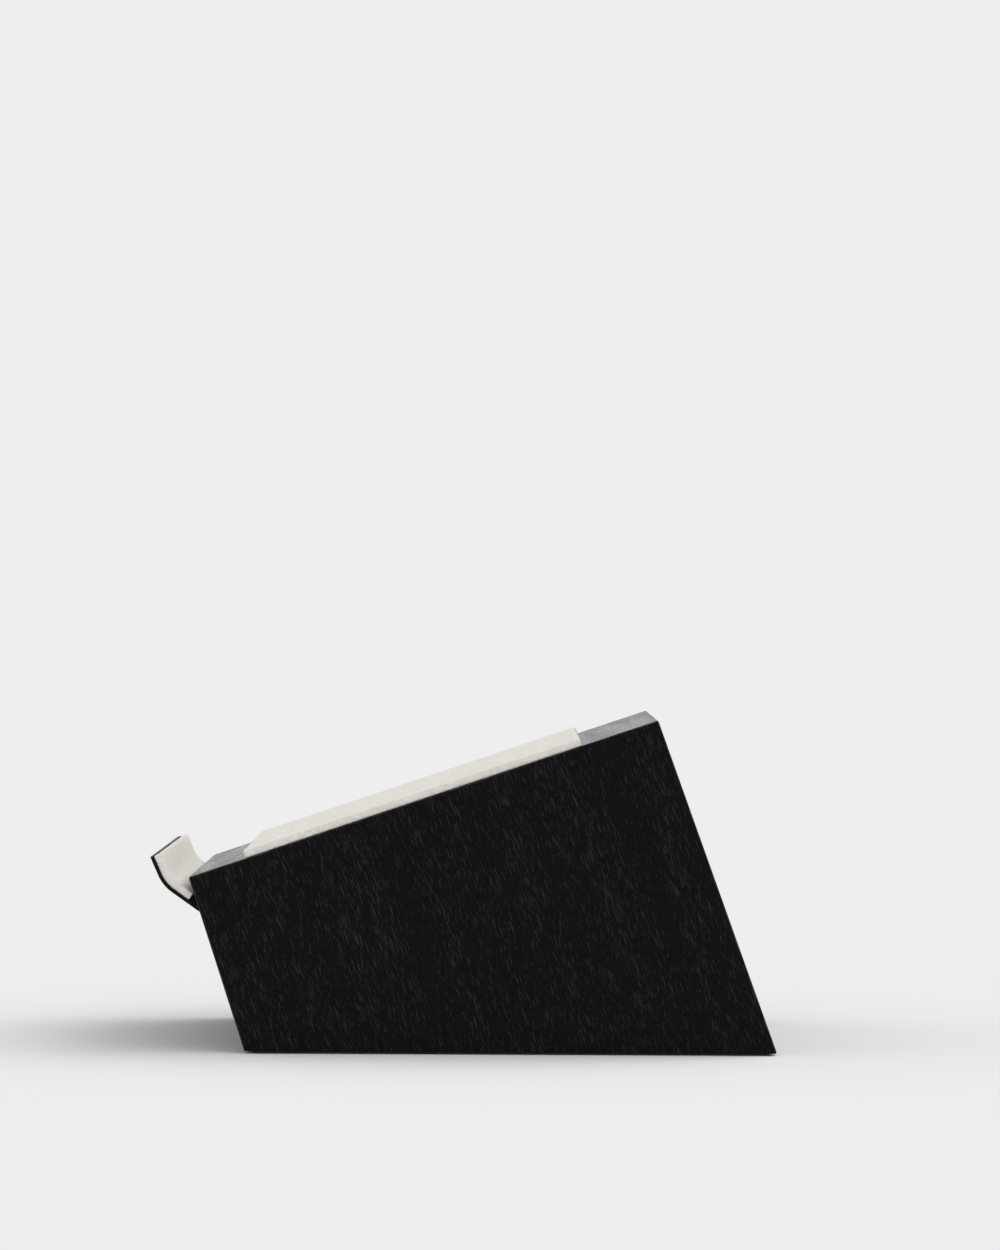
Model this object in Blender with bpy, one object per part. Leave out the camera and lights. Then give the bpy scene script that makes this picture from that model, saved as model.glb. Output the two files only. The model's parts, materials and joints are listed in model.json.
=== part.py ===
"""Laptop stand: a mitred oak wedge with a bent steel lip, wool felt pads and a thin base sheet.

X runs across the stand and is its axis of symmetry, -Y is the front, where the lip is, and +Z is
up. The stand rests on Z = 0, and its origin is under the middle of its overall box. All lengths are
in metres. The walls are flat panels mitred along every edge that they share. The lip is one steel
plate whose tail goes through a slot in the front panel and is screwed to a rail inside.
"""

import math

import bmesh
import bpy
from mathutils import Matrix, Vector

# ---------------------------------------------------------------- driving dimensions

# The box, as seen from the side
BODY_WIDTH = 0.254
BASE_LENGTH = 0.247
FRONT_HEIGHT = 0.0806
TOP_SLOPE = math.radians(18.75)
FRONT_LEAN = math.radians(18.0)
BACK_LEAN = math.radians(19.9)

# Walls, bottom and the blocks inside
PANEL_T = 0.012
BOTTOM_T = 0.009
BOTTOM_RECESS = 0.0003
ARRIS_R = 0.0008
CLEAT_T = 0.012
CLEAT_H = 0.012
BLOCK_LEG = 0.014

# The steel lip: root, lower leg, bend and upper leg, measured on its outer face
PLATE_T = 0.0016
LIP_ROOT = 0.0172
LIP_FLARE = math.radians(36.8)
LIP_REACH = 0.0213
LIP_LEAN = math.radians(5.8)
LIP_RISE = 0.0145
LIP_BEND_R = 0.019
LIP_SIDE_INSET = 0.003
LIP_CORNER_R = 0.0025
TAIL_INSIDE = 0.013
TAIL_SIDE_GAP = 0.004
RAIL_T = 0.012

# Felt and base sheet
FELT_T = 0.0035
FELT_FRONT_MARGIN = 0.0277
FELT_BACK_MARGIN = 0.0372
FELT_SIDE_INSET = 0.001
LINING_SIDE_INSET = 0.0005
LINING_TIP_DROP = 0.0005
SHEET_T = 0.0008
SHEET_FRONT_INSET = 0.006
SHEET_BACK_INSET = 0.0038
SHEET_SIDE_INSET = 0.0045

# Screws
BOTTOM_SCREW = {"shank_r": 0.00175, "head_r": 0.0035, "head_h": 0.0019, "length": 0.017}
LIP_SCREW = {"shank_r": 0.00145, "head_r": 0.0028, "head_h": 0.0018, "length": 0.0075}
LIP_SCREW_COUNT = 4
LIP_SCREW_END_MARGIN = 0.018
LIP_SCREW_FROM_TAIL_END = 0.0043
SCREW_POINT_H = 0.0022
SOCKET_DEPTH_SHARE = 0.6
SOCKET_R_SHARE = 0.42
COUNTERSINK_RIM_SHARE = 0.2
CLEAT_SCREW_SPREAD = 0.25

# A pan head's outline, as shares of its radius and of its height below the top
PAN_DOME = [(0.0, 0.0), (0.55, 0.08), (0.88, 0.35), (1.0, 0.7), (1.0, 1.0)]

# Clearances
JOINT_GAP = 0.0003
SCREW_GAP = 0.0003

# Facets, and the angle above which an edge stays sharp
ARRIS_STEPS = 3
BEND_STEPS = 8
CORNER_STEPS = 4
ROUND_SIDES = 16
SHARP_ANGLE = math.radians(35)

# The block that a solid is cut from, and the two small distances that the mesh tools work to
BLANK_SIZE = 4 * (BASE_LENGTH + BODY_WIDTH)
CUT_TOLERANCE = 1e-8
WELD_DIST = 1e-6

# ---------------------------------------------------------------- finishes

FINISHES = {
    "black_oak": ((0.011, 0.010, 0.010), 0.46, 0.0),
    "plain_ply": ((0.56, 0.41, 0.25), 0.70, 0.0),
    "plain_beech": ((0.60, 0.42, 0.27), 0.65, 0.0),
    "black_steel": ((0.010, 0.010, 0.011), 0.42, 0.0),
    "cream_felt": ((0.72, 0.68, 0.61), 0.95, 0.0),
    "brown_base": ((0.030, 0.018, 0.016), 0.85, 0.0),
    "zinc_screw": ((0.62, 0.62, 0.60), 0.35, 1.0),
}


def clear_scene():
    """Remove what a new scene starts with."""
    for obj in list(bpy.data.objects):
        bpy.data.objects.remove(obj, do_unlink=True)


def make_finish(name):
    """A Principled material with the colour, roughness and metallic value of one finish."""
    colour, roughness, metallic = FINISHES[name]
    material = bpy.data.materials.new(name)
    material.use_nodes = True
    shader = material.node_tree.nodes["Principled BSDF"]
    shader.inputs["Base Color"].default_value = (*colour, 1.0)
    shader.inputs["Roughness"].default_value = roughness
    shader.inputs["Metallic"].default_value = metallic
    material.diffuse_color = (*colour, 1.0)
    return material


# ---------------------------------------------------------------- side view geometry


def side(y, z):
    """A point or direction of the side view, as a 3-D vector at X = 0."""
    return Vector((0.0, y, z))


def turned(direction, angle):
    """A side-view direction turned by an angle from +Y towards +Z."""
    y, z = direction.y, direction.z
    return side(
        y * math.cos(angle) - z * math.sin(angle),
        y * math.sin(angle) + z * math.cos(angle),
    )


def meeting_point(plane_a, plane_b):
    """The point nearest the origin on the line where two planes meet.

    A plane is a point on it and its unit normal. Two planes seen edge-on in the side view meet at
    a point with X = 0.
    """
    point_a, normal_a = plane_a
    point_b, normal_b = plane_b
    across = normal_a.dot(normal_b)
    rise_a = normal_a.dot(point_a)
    rise_b = normal_b.dot(point_b)
    weight_a = (rise_a - across * rise_b) / (1 - across * across)
    weight_b = (rise_b - across * rise_a) / (1 - across * across)
    return normal_a * weight_a + normal_b * weight_b


WOOD_Z = SHEET_T + JOINT_GAP
HALF_WIDTH = BODY_WIDTH / 2

FRONT_OUT = side(-math.cos(FRONT_LEAN), -math.sin(FRONT_LEAN))
BACK_OUT = side(math.cos(BACK_LEAN), math.sin(BACK_LEAN))
TOP_OUT = side(-math.sin(TOP_SLOPE), math.cos(TOP_SLOPE))
BOTTOM_OUT = side(0.0, -1.0)
LEFT_OUT = Vector((-1.0, 0.0, 0.0))
RIGHT_OUT = Vector((1.0, 0.0, 0.0))

FRONT_FOOT = side(0.0, WOOD_Z)
BACK_FOOT = side(BASE_LENGTH, WOOD_Z)
FRONT_UP = turned(FRONT_OUT, -math.pi / 2)
TOP_BACKWARDS = turned(TOP_OUT, -math.pi / 2)
FRONT_CORNER = FRONT_FOOT + FRONT_UP * (FRONT_HEIGHT / math.cos(FRONT_LEAN))
BACK_CORNER = meeting_point((FRONT_CORNER, TOP_OUT), (BACK_FOOT, BACK_OUT))

# Each outer face of the box: a point on it and its outward normal
FACES = {
    "top": (FRONT_CORNER, TOP_OUT),
    "front": (FRONT_FOOT, FRONT_OUT),
    "back": (BACK_FOOT, BACK_OUT),
    "bottom": (FRONT_FOOT, BOTTOM_OUT),
    "left": (LEFT_OUT * HALF_WIDTH, LEFT_OUT),
    "right": (RIGHT_OUT * HALF_WIDTH, RIGHT_OUT),
}
WALLS = ["top", "front", "back", "left", "right"]
OPPOSITE = {"front": "back", "back": "front", "left": "right", "right": "left"}


def wall_plane(face, depth):
    """The plane that lies depth inside an outer face, facing out."""
    point, normal = FACES[face]
    return point - normal * depth, normal


def lining_plane(face, clearance=JOINT_GAP):
    """The plane that a piece fitted inside a wall stops at, facing out."""
    return wall_plane(face, PANEL_T + clearance)


def mitre_plane(panel, neighbour):
    """The mitre of a panel against its neighbour, half a joint gap back from the true mitre."""
    spread = (FACES[panel][1] - FACES[neighbour][1]).normalized()
    edge = meeting_point(FACES[panel], FACES[neighbour])
    return edge + spread * (JOINT_GAP / 2), -spread


def arris_planes(face_a, face_b):
    """Planes that round the outer edge between two faces to ARRIS_R."""
    normal_a = FACES[face_a][1]
    normal_b = FACES[face_b][1]
    inward = (normal_a + normal_b) / (1 + normal_a.dot(normal_b))
    centre = meeting_point(FACES[face_a], FACES[face_b]) - inward * ARRIS_R
    planes = []
    for step in range(1, ARRIS_STEPS + 1):
        normal = normal_a.slerp(normal_b, step / (ARRIS_STEPS + 1))
        planes.append((centre + normal * ARRIS_R, normal))
    return planes


# ---------------------------------------------------------------- solid builders


def link_mesh(name, mesh, finish, parent):
    """Make an object of a mesh, give it its finish and parent it to the stand."""
    obj = bpy.data.objects.new(name, mesh)
    bpy.context.scene.collection.objects.link(obj)
    if finish:
        mesh.materials.append(finish)
    obj.parent = parent
    return obj


def centre_origin(obj):
    """Move an object's origin to the middle of its mesh, leaving the shape where it is."""
    corners = [vertex.co for vertex in obj.data.vertices]
    low = Vector([min(corner[axis] for corner in corners) for axis in range(3)])
    high = Vector([max(corner[axis] for corner in corners) for axis in range(3)])
    middle = (low + high) / 2
    obj.data.transform(Matrix.Translation(-middle))
    obj.location = middle


def shade(mesh):
    """Shade the rounded stretches smooth and keep the real edges sharp."""
    mesh.shade_smooth()
    mesh.set_sharp_from_angle(angle=SHARP_ANGLE)


def finish_shape(obj):
    """Shade a new piece and centre its origin."""
    shade(obj.data)
    centre_origin(obj)
    return obj


def convex_solid(name, planes, finish, parent):
    """The solid inside a set of outward-facing planes, cut from a large block."""
    shape = bmesh.new()
    bmesh.ops.create_cube(shape, size=BLANK_SIZE)
    for point, normal in planes:
        cut = bmesh.ops.bisect_plane(
            shape,
            geom=shape.verts[:] + shape.edges[:] + shape.faces[:],
            dist=CUT_TOLERANCE,
            plane_co=point,
            plane_no=normal,
            clear_outer=True,
        )
        rim = [item for item in cut["geom_cut"] if isinstance(item, bmesh.types.BMEdge)]
        if rim:
            bmesh.ops.edgeloop_fill(shape, edges=rim)
    bmesh.ops.recalc_face_normals(shape, faces=shape.faces)
    mesh = bpy.data.meshes.new(name)
    shape.to_mesh(mesh)
    shape.free()
    return finish_shape(link_mesh(name, mesh, finish, parent))


def across_solid(name, outline, half_width, finish, parent):
    """An outline of the side view, run across the stand from -half_width to +half_width."""
    shape = bmesh.new()
    start = [shape.verts.new(point - RIGHT_OUT * half_width) for point in outline]
    face = shape.faces.new(start)
    pushed = bmesh.ops.extrude_face_region(shape, geom=[face])
    moved = [item for item in pushed["geom"] if isinstance(item, bmesh.types.BMVert)]
    bmesh.ops.translate(shape, verts=moved, vec=RIGHT_OUT * (2 * half_width))
    bmesh.ops.recalc_face_normals(shape, faces=shape.faces)
    mesh = bpy.data.meshes.new(name)
    shape.to_mesh(mesh)
    shape.free()
    return finish_shape(link_mesh(name, mesh, finish, parent))


def turned_mesh(name, profile):
    """A closed turned mesh about Z from (radius, height) points, top to bottom."""
    shape = bmesh.new()
    points = [shape.verts.new((radius, 0.0, height)) for radius, height in profile]
    edges = [shape.edges.new(pair) for pair in zip(points, points[1:])]
    bmesh.ops.spin(
        shape,
        geom=points + edges,
        cent=(0, 0, 0),
        axis=(0, 0, 1),
        angle=2 * math.pi,
        steps=ROUND_SIDES,
        use_merge=True,
    )
    bmesh.ops.remove_doubles(shape, verts=shape.verts, dist=WELD_DIST)
    bmesh.ops.recalc_face_normals(shape, faces=shape.faces)
    mesh = bpy.data.meshes.new(name)
    shape.to_mesh(mesh)
    shape.free()
    return mesh


def make_cutter(name, mesh, matrix, parent):
    """A cutting shape, which is not a piece of the stand."""
    cutter = link_mesh(name, mesh, None, parent)
    cutter.matrix_local = matrix
    cutter.hide_render = True
    cutter.display_type = "WIRE"
    return cutter


def cut_away(obj, cutter):
    """Cut one shape out of a piece."""
    cut = obj.modifiers.new(f"cut {cutter.name}", "BOOLEAN")
    cut.operation = "DIFFERENCE"
    cut.solver = "EXACT"
    cut.object = cutter


def frame_at(point, along_z, along_x=RIGHT_OUT):
    """A placing matrix with its Z along one direction and its X along another."""
    z = along_z.normalized()
    x = along_x.normalized()
    y = z.cross(x)
    return Matrix(
        (
            (x.x, y.x, z.x, point.x),
            (x.y, y.y, z.y, point.y),
            (x.z, y.z, z.z, point.z),
            (0, 0, 0, 1),
        )
    )


def box_mesh(name, size_x, size_y, size_z):
    """A plain block about its own middle."""
    shape = bmesh.new()
    bmesh.ops.create_cube(shape, size=1.0)
    bmesh.ops.scale(shape, vec=(size_x, size_y, size_z), verts=shape.verts)
    mesh = bpy.data.meshes.new(name)
    shape.to_mesh(mesh)
    shape.free()
    return mesh


# ---------------------------------------------------------------- the box


def make_wall(face, finish, parent):
    """One wall of the box: mitred to its neighbours, with its outer edges eased."""
    names = {"top": "top_panel", "front": "front_panel", "back": "back_panel"}
    name = names.get(face, f"side_panel_{face}")
    inner_point, inner_normal = wall_plane(face, PANEL_T)
    planes = [FACES[face], (inner_point, -inner_normal)]
    for neighbour in WALLS:
        if neighbour not in (face, OPPOSITE.get(face)):
            planes.append(mitre_plane(face, neighbour))
            planes += arris_planes(face, neighbour)
    if face != "top":
        planes.append(FACES["bottom"])
        planes += arris_planes(face, "bottom")
    return convex_solid(name, planes, finish, parent)


BOTTOM_Z = WOOD_Z + BOTTOM_RECESS
BOTTOM_TOP_Z = BOTTOM_Z + BOTTOM_T
CLEAT_Z = BOTTOM_TOP_Z + JOINT_GAP
CLEAT_TOP_Z = CLEAT_Z + CLEAT_H


def level(z, up):
    """A horizontal plane at a height, facing up or down."""
    return side(0.0, z), side(0.0, 1.0 if up else -1.0)


def make_bottom_panel(finish, parent):
    """The bottom panel, let in between the four walls."""
    planes = [level(BOTTOM_Z, False), level(BOTTOM_TOP_Z, True)]
    planes += [lining_plane(face) for face in ("front", "back", "left", "right")]
    return convex_solid("bottom_panel", planes, finish, parent)


def cleat_face(wall):
    """The inner upright face of a cleat, CLEAT_T in from where its wall leans furthest in.

    The wall is followed from the bottom panel's underside to the cleat's top, so a screw midway
    between the two keeps its head and its point clear of the wall.
    """
    point, normal = lining_plane(wall)
    if wall in ("left", "right"):
        return point - normal * CLEAT_T, -normal
    flat = side(math.copysign(1.0, normal.y), 0.0)
    ends = [meeting_point((point, normal), level(z, False)) for z in (BOTTOM_Z, CLEAT_TOP_Z)]
    return min(ends, key=flat.dot) - flat * CLEAT_T, -flat


def make_cleat(wall, finish, parent):
    """A cleat along the foot of one wall: the side cleats stop at the front and back ones."""
    planes = [lining_plane(wall), cleat_face(wall), level(CLEAT_Z, False), level(CLEAT_TOP_Z, True)]
    if wall in ("front", "back"):
        planes += [lining_plane("left"), lining_plane("right")]
    else:
        for end in ("front", "back"):
            point, normal = cleat_face(end)
            planes.append((point + normal * JOINT_GAP, -normal))
    return convex_solid(f"cleat_{wall}", planes, finish, parent)


def block_face(wall_a, wall_b):
    """The long face of the triangular block in the corner of two walls."""
    plane_a = lining_plane(wall_a)
    plane_b = lining_plane(wall_b)
    spread = (plane_a[1] + plane_b[1]).normalized()
    depth = BLOCK_LEG * math.sqrt((1 - plane_a[1].dot(plane_b[1])) / 2)
    return meeting_point(plane_a, plane_b) - spread * depth, -spread


def make_top_block(wall, finish, parent):
    """The block under the top panel along one wall."""
    planes = [lining_plane("top"), lining_plane(wall), block_face("top", wall)]
    if wall in ("front", "back"):
        planes += [lining_plane("left"), lining_plane("right")]
    else:
        for end in ("front", "back"):
            planes.append(lining_plane(end, BLOCK_LEG + 2 * JOINT_GAP))
    return convex_solid(f"glue_block_top_{wall}", planes, finish, parent)


def make_corner_block(wall, hand, finish, parent):
    """The upright block where the front or back panel meets a side panel."""
    planes = [
        lining_plane(wall),
        lining_plane(hand),
        block_face(wall, hand),
        lining_plane("top", BLOCK_LEG + 2 * JOINT_GAP),
        level(CLEAT_TOP_Z + JOINT_GAP, False),
    ]
    return convex_solid(f"glue_block_{wall}_{hand}", planes, finish, parent)


# ---------------------------------------------------------------- the lip

LIP_TURN = LIP_FLARE - LIP_LEAN
LIP_LEG_DIR = (FRONT_UP * math.cos(LIP_FLARE) + FRONT_OUT * math.sin(LIP_FLARE)).normalized()
LIP_RISE_DIR = (FRONT_UP * math.cos(LIP_LEAN) + FRONT_OUT * math.sin(LIP_LEAN)).normalized()
LIP_LEG_IN = turned(LIP_LEG_DIR, -math.pi / 2)
LIP_RISE_IN = turned(LIP_RISE_DIR, -math.pi / 2)
LIP_ROOT_POINT = FRONT_CORNER - FRONT_UP * LIP_ROOT
LIP_KNEE = LIP_ROOT_POINT + LIP_LEG_DIR * LIP_REACH
LIP_TANGENT = LIP_BEND_R * math.tan(LIP_TURN / 2)
LIP_BEND_CENTRE = LIP_KNEE - LIP_LEG_DIR * LIP_TANGENT + LIP_LEG_IN * LIP_BEND_R
TAIL_IN_PANEL = PANEL_T / math.sin(LIP_FLARE)
TAIL_DEPTH = TAIL_IN_PANEL + TAIL_INSIDE
LIP_HALF_WIDTH = HALF_WIDTH - LIP_SIDE_INSET
BLOCK_INNER_X = HALF_WIDTH - PANEL_T - JOINT_GAP - BLOCK_LEG
RAIL_HALF_WIDTH = BLOCK_INNER_X - JOINT_GAP
TAIL_HALF_WIDTH = RAIL_HALF_WIDTH - TAIL_SIDE_GAP


def lip_line(offset, start, end):
    """The lip's line in the side view, offset inwards from its outer face.

    It runs up the lower leg from start (measured from the root) round the bend and up the upper
    leg to end (measured from the knee).
    """
    points = [LIP_ROOT_POINT + LIP_LEG_DIR * start + LIP_LEG_IN * offset]
    for step in range(BEND_STEPS + 1):
        out = -turned(LIP_LEG_IN, -LIP_TURN * step / BEND_STEPS)
        points.append(LIP_BEND_CENTRE + out * (LIP_BEND_R - offset))
    points.append(LIP_KNEE + LIP_RISE_DIR * end + LIP_RISE_IN * offset)
    return points


def lip_strip(near, far, start, end):
    """The outline of a strip that follows the lip between two offsets."""
    return lip_line(near, start, end) + lip_line(far, start, end)[::-1]


def round_tip_corners(obj):
    """Round the two upper corners of the lip, as seen from the front."""
    shape = bmesh.new()
    shape.from_mesh(obj.data)
    shape.normal_update()
    centre = Vector(obj.location)
    tip = LIP_KNEE + LIP_RISE_DIR * LIP_RISE
    corners = []
    for edge in shape.edges:
        ends = [vertex.co + centre for vertex in edge.verts]
        at_tip = all(abs((end - tip).dot(LIP_RISE_DIR)) < JOINT_GAP for end in ends)
        through = abs(ends[0].x - ends[1].x) < JOINT_GAP
        if at_tip and through:
            corners.append(edge)
    bmesh.ops.bevel(
        shape, geom=corners, offset=LIP_CORNER_R, segments=CORNER_STEPS, profile=0.5, affect="EDGES"
    )
    shape.to_mesh(obj.data)
    shape.free()
    shade(obj.data)


def make_lip_plate(finish, parent):
    """The lip: one plate, full width outside the front panel and narrower where it goes in."""
    outline = lip_strip(0.0, PLATE_T, -TAIL_DEPTH, LIP_RISE)
    plate = across_solid("lip_plate", outline, LIP_HALF_WIDTH, finish, parent)
    round_tip_corners(plate)
    notch_width = LIP_HALF_WIDTH - TAIL_HALF_WIDTH
    notch_depth = 2 * (TAIL_DEPTH + LIP_ROOT)
    for hand, sign in (("left", -1.0), ("right", 1.0)):
        middle = LIP_ROOT_POINT + FRONT_OUT * (JOINT_GAP - notch_depth / 2)
        middle += RIGHT_OUT * (sign * (TAIL_HALF_WIDTH + notch_width))
        mesh = box_mesh(f"notch_{hand}", 2 * notch_width, 2 * notch_depth, notch_depth)
        cutter = make_cutter(f"notch_{hand}", mesh, frame_at(middle, FRONT_OUT), parent)
        cut_away(plate, cutter)
    return plate


def cut_lip_slot(front_panel, parent):
    """The slot that the lip's tail goes through."""
    width = 2 * (TAIL_HALF_WIDTH + JOINT_GAP)
    middle = LIP_ROOT_POINT + LIP_LEG_IN * (PLATE_T / 2) - LIP_LEG_DIR * (TAIL_IN_PANEL / 2)
    mesh = box_mesh("lip_slot", width, PLATE_T + 2 * JOINT_GAP, 3 * TAIL_IN_PANEL)
    cut_away(front_panel, make_cutter("lip_slot", mesh, frame_at(middle, LIP_LEG_DIR), parent))


def make_lip_rail(finish, parent):
    """The wedge inside the front panel that carries the lip's tail."""
    rail_face_point, rail_face_normal = wall_plane("front", PANEL_T + JOINT_GAP + RAIL_T)
    planes = [
        lining_plane("front"),
        (rail_face_point, -rail_face_normal),
        (LIP_ROOT_POINT - LIP_LEG_IN * JOINT_GAP, LIP_LEG_IN),
        level(CLEAT_TOP_Z + JOINT_GAP, False),
        (RIGHT_OUT * RAIL_HALF_WIDTH, RIGHT_OUT),
        (LEFT_OUT * RAIL_HALF_WIDTH, LEFT_OUT),
    ]
    return convex_solid("lip_rail", planes, finish, parent)


# ---------------------------------------------------------------- felt and base sheet


def make_top_felt(finish, parent):
    """The felt pad on the sloping top, between its front and back margins."""
    front_end = FRONT_CORNER + TOP_BACKWARDS * FELT_FRONT_MARGIN
    back_end = BACK_CORNER - TOP_BACKWARDS * FELT_BACK_MARGIN
    half_width = HALF_WIDTH - FELT_SIDE_INSET
    planes = [
        (FRONT_CORNER + TOP_OUT * JOINT_GAP, -TOP_OUT),
        (FRONT_CORNER + TOP_OUT * (JOINT_GAP + FELT_T), TOP_OUT),
        (front_end, -TOP_BACKWARDS),
        (back_end, TOP_BACKWARDS),
        (RIGHT_OUT * half_width, RIGHT_OUT),
        (LEFT_OUT * half_width, LEFT_OUT),
    ]
    return convex_solid("top_felt", planes, finish, parent)


def make_lip_felt(finish, parent):
    """The felt lining of the lip, cut square where its inner corner reaches the front panel."""
    near = PLATE_T + JOINT_GAP
    far = near + FELT_T
    reach_in = far / math.tan(LIP_FLARE)
    start = reach_in + JOINT_GAP / math.sin(LIP_FLARE)
    outline = lip_strip(near, far, start, LIP_RISE - LINING_TIP_DROP)
    half_width = LIP_HALF_WIDTH - LINING_SIDE_INSET
    return across_solid("lip_felt", outline, half_width, finish, parent)


def make_base_sheet(finish, parent):
    """The thin sheet that the stand rests on."""
    half_width = HALF_WIDTH - SHEET_SIDE_INSET
    planes = [
        level(0.0, False),
        level(SHEET_T, True),
        (FRONT_FOOT + side(SHEET_FRONT_INSET, 0.0), side(-1.0, 0.0)),
        (BACK_FOOT - side(SHEET_BACK_INSET, 0.0), side(1.0, 0.0)),
        (RIGHT_OUT * half_width, RIGHT_OUT),
        (LEFT_OUT * half_width, LEFT_OUT),
    ]
    return convex_solid("base_sheet", planes, finish, parent)


# ---------------------------------------------------------------- screws


def screw_mesh(name, screw, countersunk):
    """A wood screw with its head's top at Z = 0 and its point downwards."""
    head_r = screw["head_r"]
    head_h = screw["head_h"]
    if countersunk:
        head = [(0.0, 0.0), (head_r, 0.0), (head_r, -COUNTERSINK_RIM_SHARE * head_h)]
    else:
        head = [(across * head_r, -down * head_h) for across, down in PAN_DOME]
    radius = screw["shank_r"]
    shank = [(radius, -head_h), (radius, -screw["length"] + SCREW_POINT_H)]
    return turned_mesh(name, head + shank + [(0.0, -screw["length"])])


def hex_mesh(name, radius, depth):
    """A six-sided cutter for a screw's socket, from Z = +depth down to Z = -depth."""
    shape = bmesh.new()
    bmesh.ops.create_cone(
        shape, cap_ends=True, segments=6, radius1=radius, radius2=radius, depth=2 * depth
    )
    mesh = bpy.data.meshes.new(name)
    shape.to_mesh(mesh)
    shape.free()
    return mesh


def hole_mesh(name, screw, countersunk):
    """The hole for a screw: a clearance round the shank, with a countersink if it has one."""
    radius = screw["shank_r"] + SCREW_GAP
    top = screw["head_r"]
    if countersunk:
        head_r = screw["head_r"] + SCREW_GAP
        head_h = screw["head_h"] + SCREW_GAP
        rim = (head_r, -COUNTERSINK_RIM_SHARE * head_h)
        profile = [(0.0, top), (head_r, top), rim, (radius, -head_h)]
    else:
        profile = [(0.0, top), (radius, top)]
    bottom = -screw["length"] - SCREW_GAP
    return turned_mesh(name, profile + [(radius, bottom), (0.0, bottom)])


class ScrewKit:
    """One kind of screw: its shared meshes, and how it is driven into the pieces it joins."""

    def __init__(self, prefix, screw, countersunk, finish, parent):
        self.prefix = prefix
        self.screw = screw
        self.parent = parent
        self.mesh = screw_mesh(prefix, screw, countersunk)
        self.mesh.materials.append(finish)
        shade(self.mesh)
        depth = SOCKET_DEPTH_SHARE * screw["head_h"]
        self.socket = hex_mesh(f"{prefix}_socket", SOCKET_R_SHARE * screw["head_r"], depth)
        self.hole = hole_mesh(f"{prefix}_hole", screw, countersunk)
        self.count = 0

    def drive(self, matrix, pieces):
        """Put one screw in place and drill the pieces that it goes through."""
        self.count += 1
        name = f"{self.prefix}_{self.count}"
        screw = bpy.data.objects.new(name, self.mesh)
        bpy.context.scene.collection.objects.link(screw)
        screw.parent = self.parent
        screw.matrix_local = matrix
        cut_away(screw, make_cutter(f"{name}_socket", self.socket, matrix, self.parent))
        hole = make_cutter(f"{name}_hole", self.hole, matrix, self.parent)
        for piece in pieces:
            cut_away(piece, hole)


def drive_bottom_screws(kit, bottom_panel, cleats):
    """Two screws up through the bottom panel into each cleat."""
    head_z = BOTTOM_Z + JOINT_GAP
    for wall in ("front", "back", "left", "right"):
        inner_point, inner_normal = cleat_face(wall)
        for share in (-CLEAT_SCREW_SPREAD, CLEAT_SCREW_SPREAD):
            if wall in ("front", "back"):
                spot = inner_point - inner_normal * (CLEAT_T / 2)
                spot = Vector((share * BODY_WIDTH, spot.y, head_z))
            else:
                front_y = cleat_face("front")[0].y
                back_y = cleat_face("back")[0].y
                along = (front_y + back_y) / 2 + share * (back_y - front_y)
                spot = Vector((inner_point.x - inner_normal.x * CLEAT_T / 2, along, head_z))
            kit.drive(frame_at(spot, side(0.0, -1.0)), [bottom_panel, cleats[wall]])


def drive_lip_screws(kit, plate, rail):
    """A row of screws through the lip's tail into its rail."""
    from_root = TAIL_DEPTH - LIP_SCREW_FROM_TAIL_END
    height = PLATE_T + JOINT_GAP + LIP_SCREW["head_h"]
    reach = TAIL_HALF_WIDTH - LIP_SCREW_END_MARGIN
    for index in range(LIP_SCREW_COUNT):
        x = -reach + 2 * reach * index / (LIP_SCREW_COUNT - 1)
        spot = LIP_ROOT_POINT - LIP_LEG_DIR * from_root + LIP_LEG_IN * height + RIGHT_OUT * x
        kit.drive(frame_at(spot, LIP_LEG_IN), [plate, rail])


# ---------------------------------------------------------------- assembly


def centre_stand(stand):
    """Put the origin under the middle of the stand's overall length."""
    bpy.context.view_layer.update()
    pieces = [obj for obj in bpy.data.objects if obj.type == "MESH" and not obj.hide_render]
    ends = [(obj.matrix_world @ vertex.co).y for obj in pieces for vertex in obj.data.vertices]
    stand.location.y = -(min(ends) + max(ends)) / 2


def build():
    """Build every piece of the stand."""
    clear_scene()
    finish = {name: make_finish(name) for name in FINISHES}
    stand = bpy.data.objects.new("stand", None)
    bpy.context.scene.collection.objects.link(stand)

    walls = {face: make_wall(face, finish["black_oak"], stand) for face in WALLS}
    bottom_panel = make_bottom_panel(finish["plain_ply"], stand)
    sides = ("front", "back", "left", "right")
    cleats = {wall: make_cleat(wall, finish["plain_beech"], stand) for wall in sides}
    for wall in sides:
        make_top_block(wall, finish["plain_beech"], stand)
    for wall in ("front", "back"):
        for hand in ("left", "right"):
            make_corner_block(wall, hand, finish["plain_beech"], stand)

    plate = make_lip_plate(finish["black_steel"], stand)
    cut_lip_slot(walls["front"], stand)
    rail = make_lip_rail(finish["plain_beech"], stand)
    make_lip_felt(finish["cream_felt"], stand)
    make_top_felt(finish["cream_felt"], stand)
    make_base_sheet(finish["brown_base"], stand)

    bottom_kit = ScrewKit("bottom_screw", BOTTOM_SCREW, True, finish["zinc_screw"], stand)
    drive_bottom_screws(bottom_kit, bottom_panel, cleats)
    lip_kit = ScrewKit("lip_screw", LIP_SCREW, False, finish["zinc_screw"], stand)
    drive_lip_screws(lip_kit, plate, rail)
    centre_stand(stand)


build()
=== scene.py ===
# %% [markdown]
# # A laptop stand in black oak, steel and wool felt
#
# The stand is a wedge-shaped box. Five oak panels are mitred together, so no end grain shows, and
# then stained black. A pad of wool felt lies on the sloping top, and a strip of bent steel, lined
# with the same felt, grows out of the front and keeps the computer from sliding off. A thin brown
# sheet under the box keeps it from scratching the desk.
#
# The measured model comes in as a fixed frame. This lesson dresses it: it decides what each piece
# is made of, and rebuilds the pieces whose surface needs more than a plain solid can give.

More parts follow.
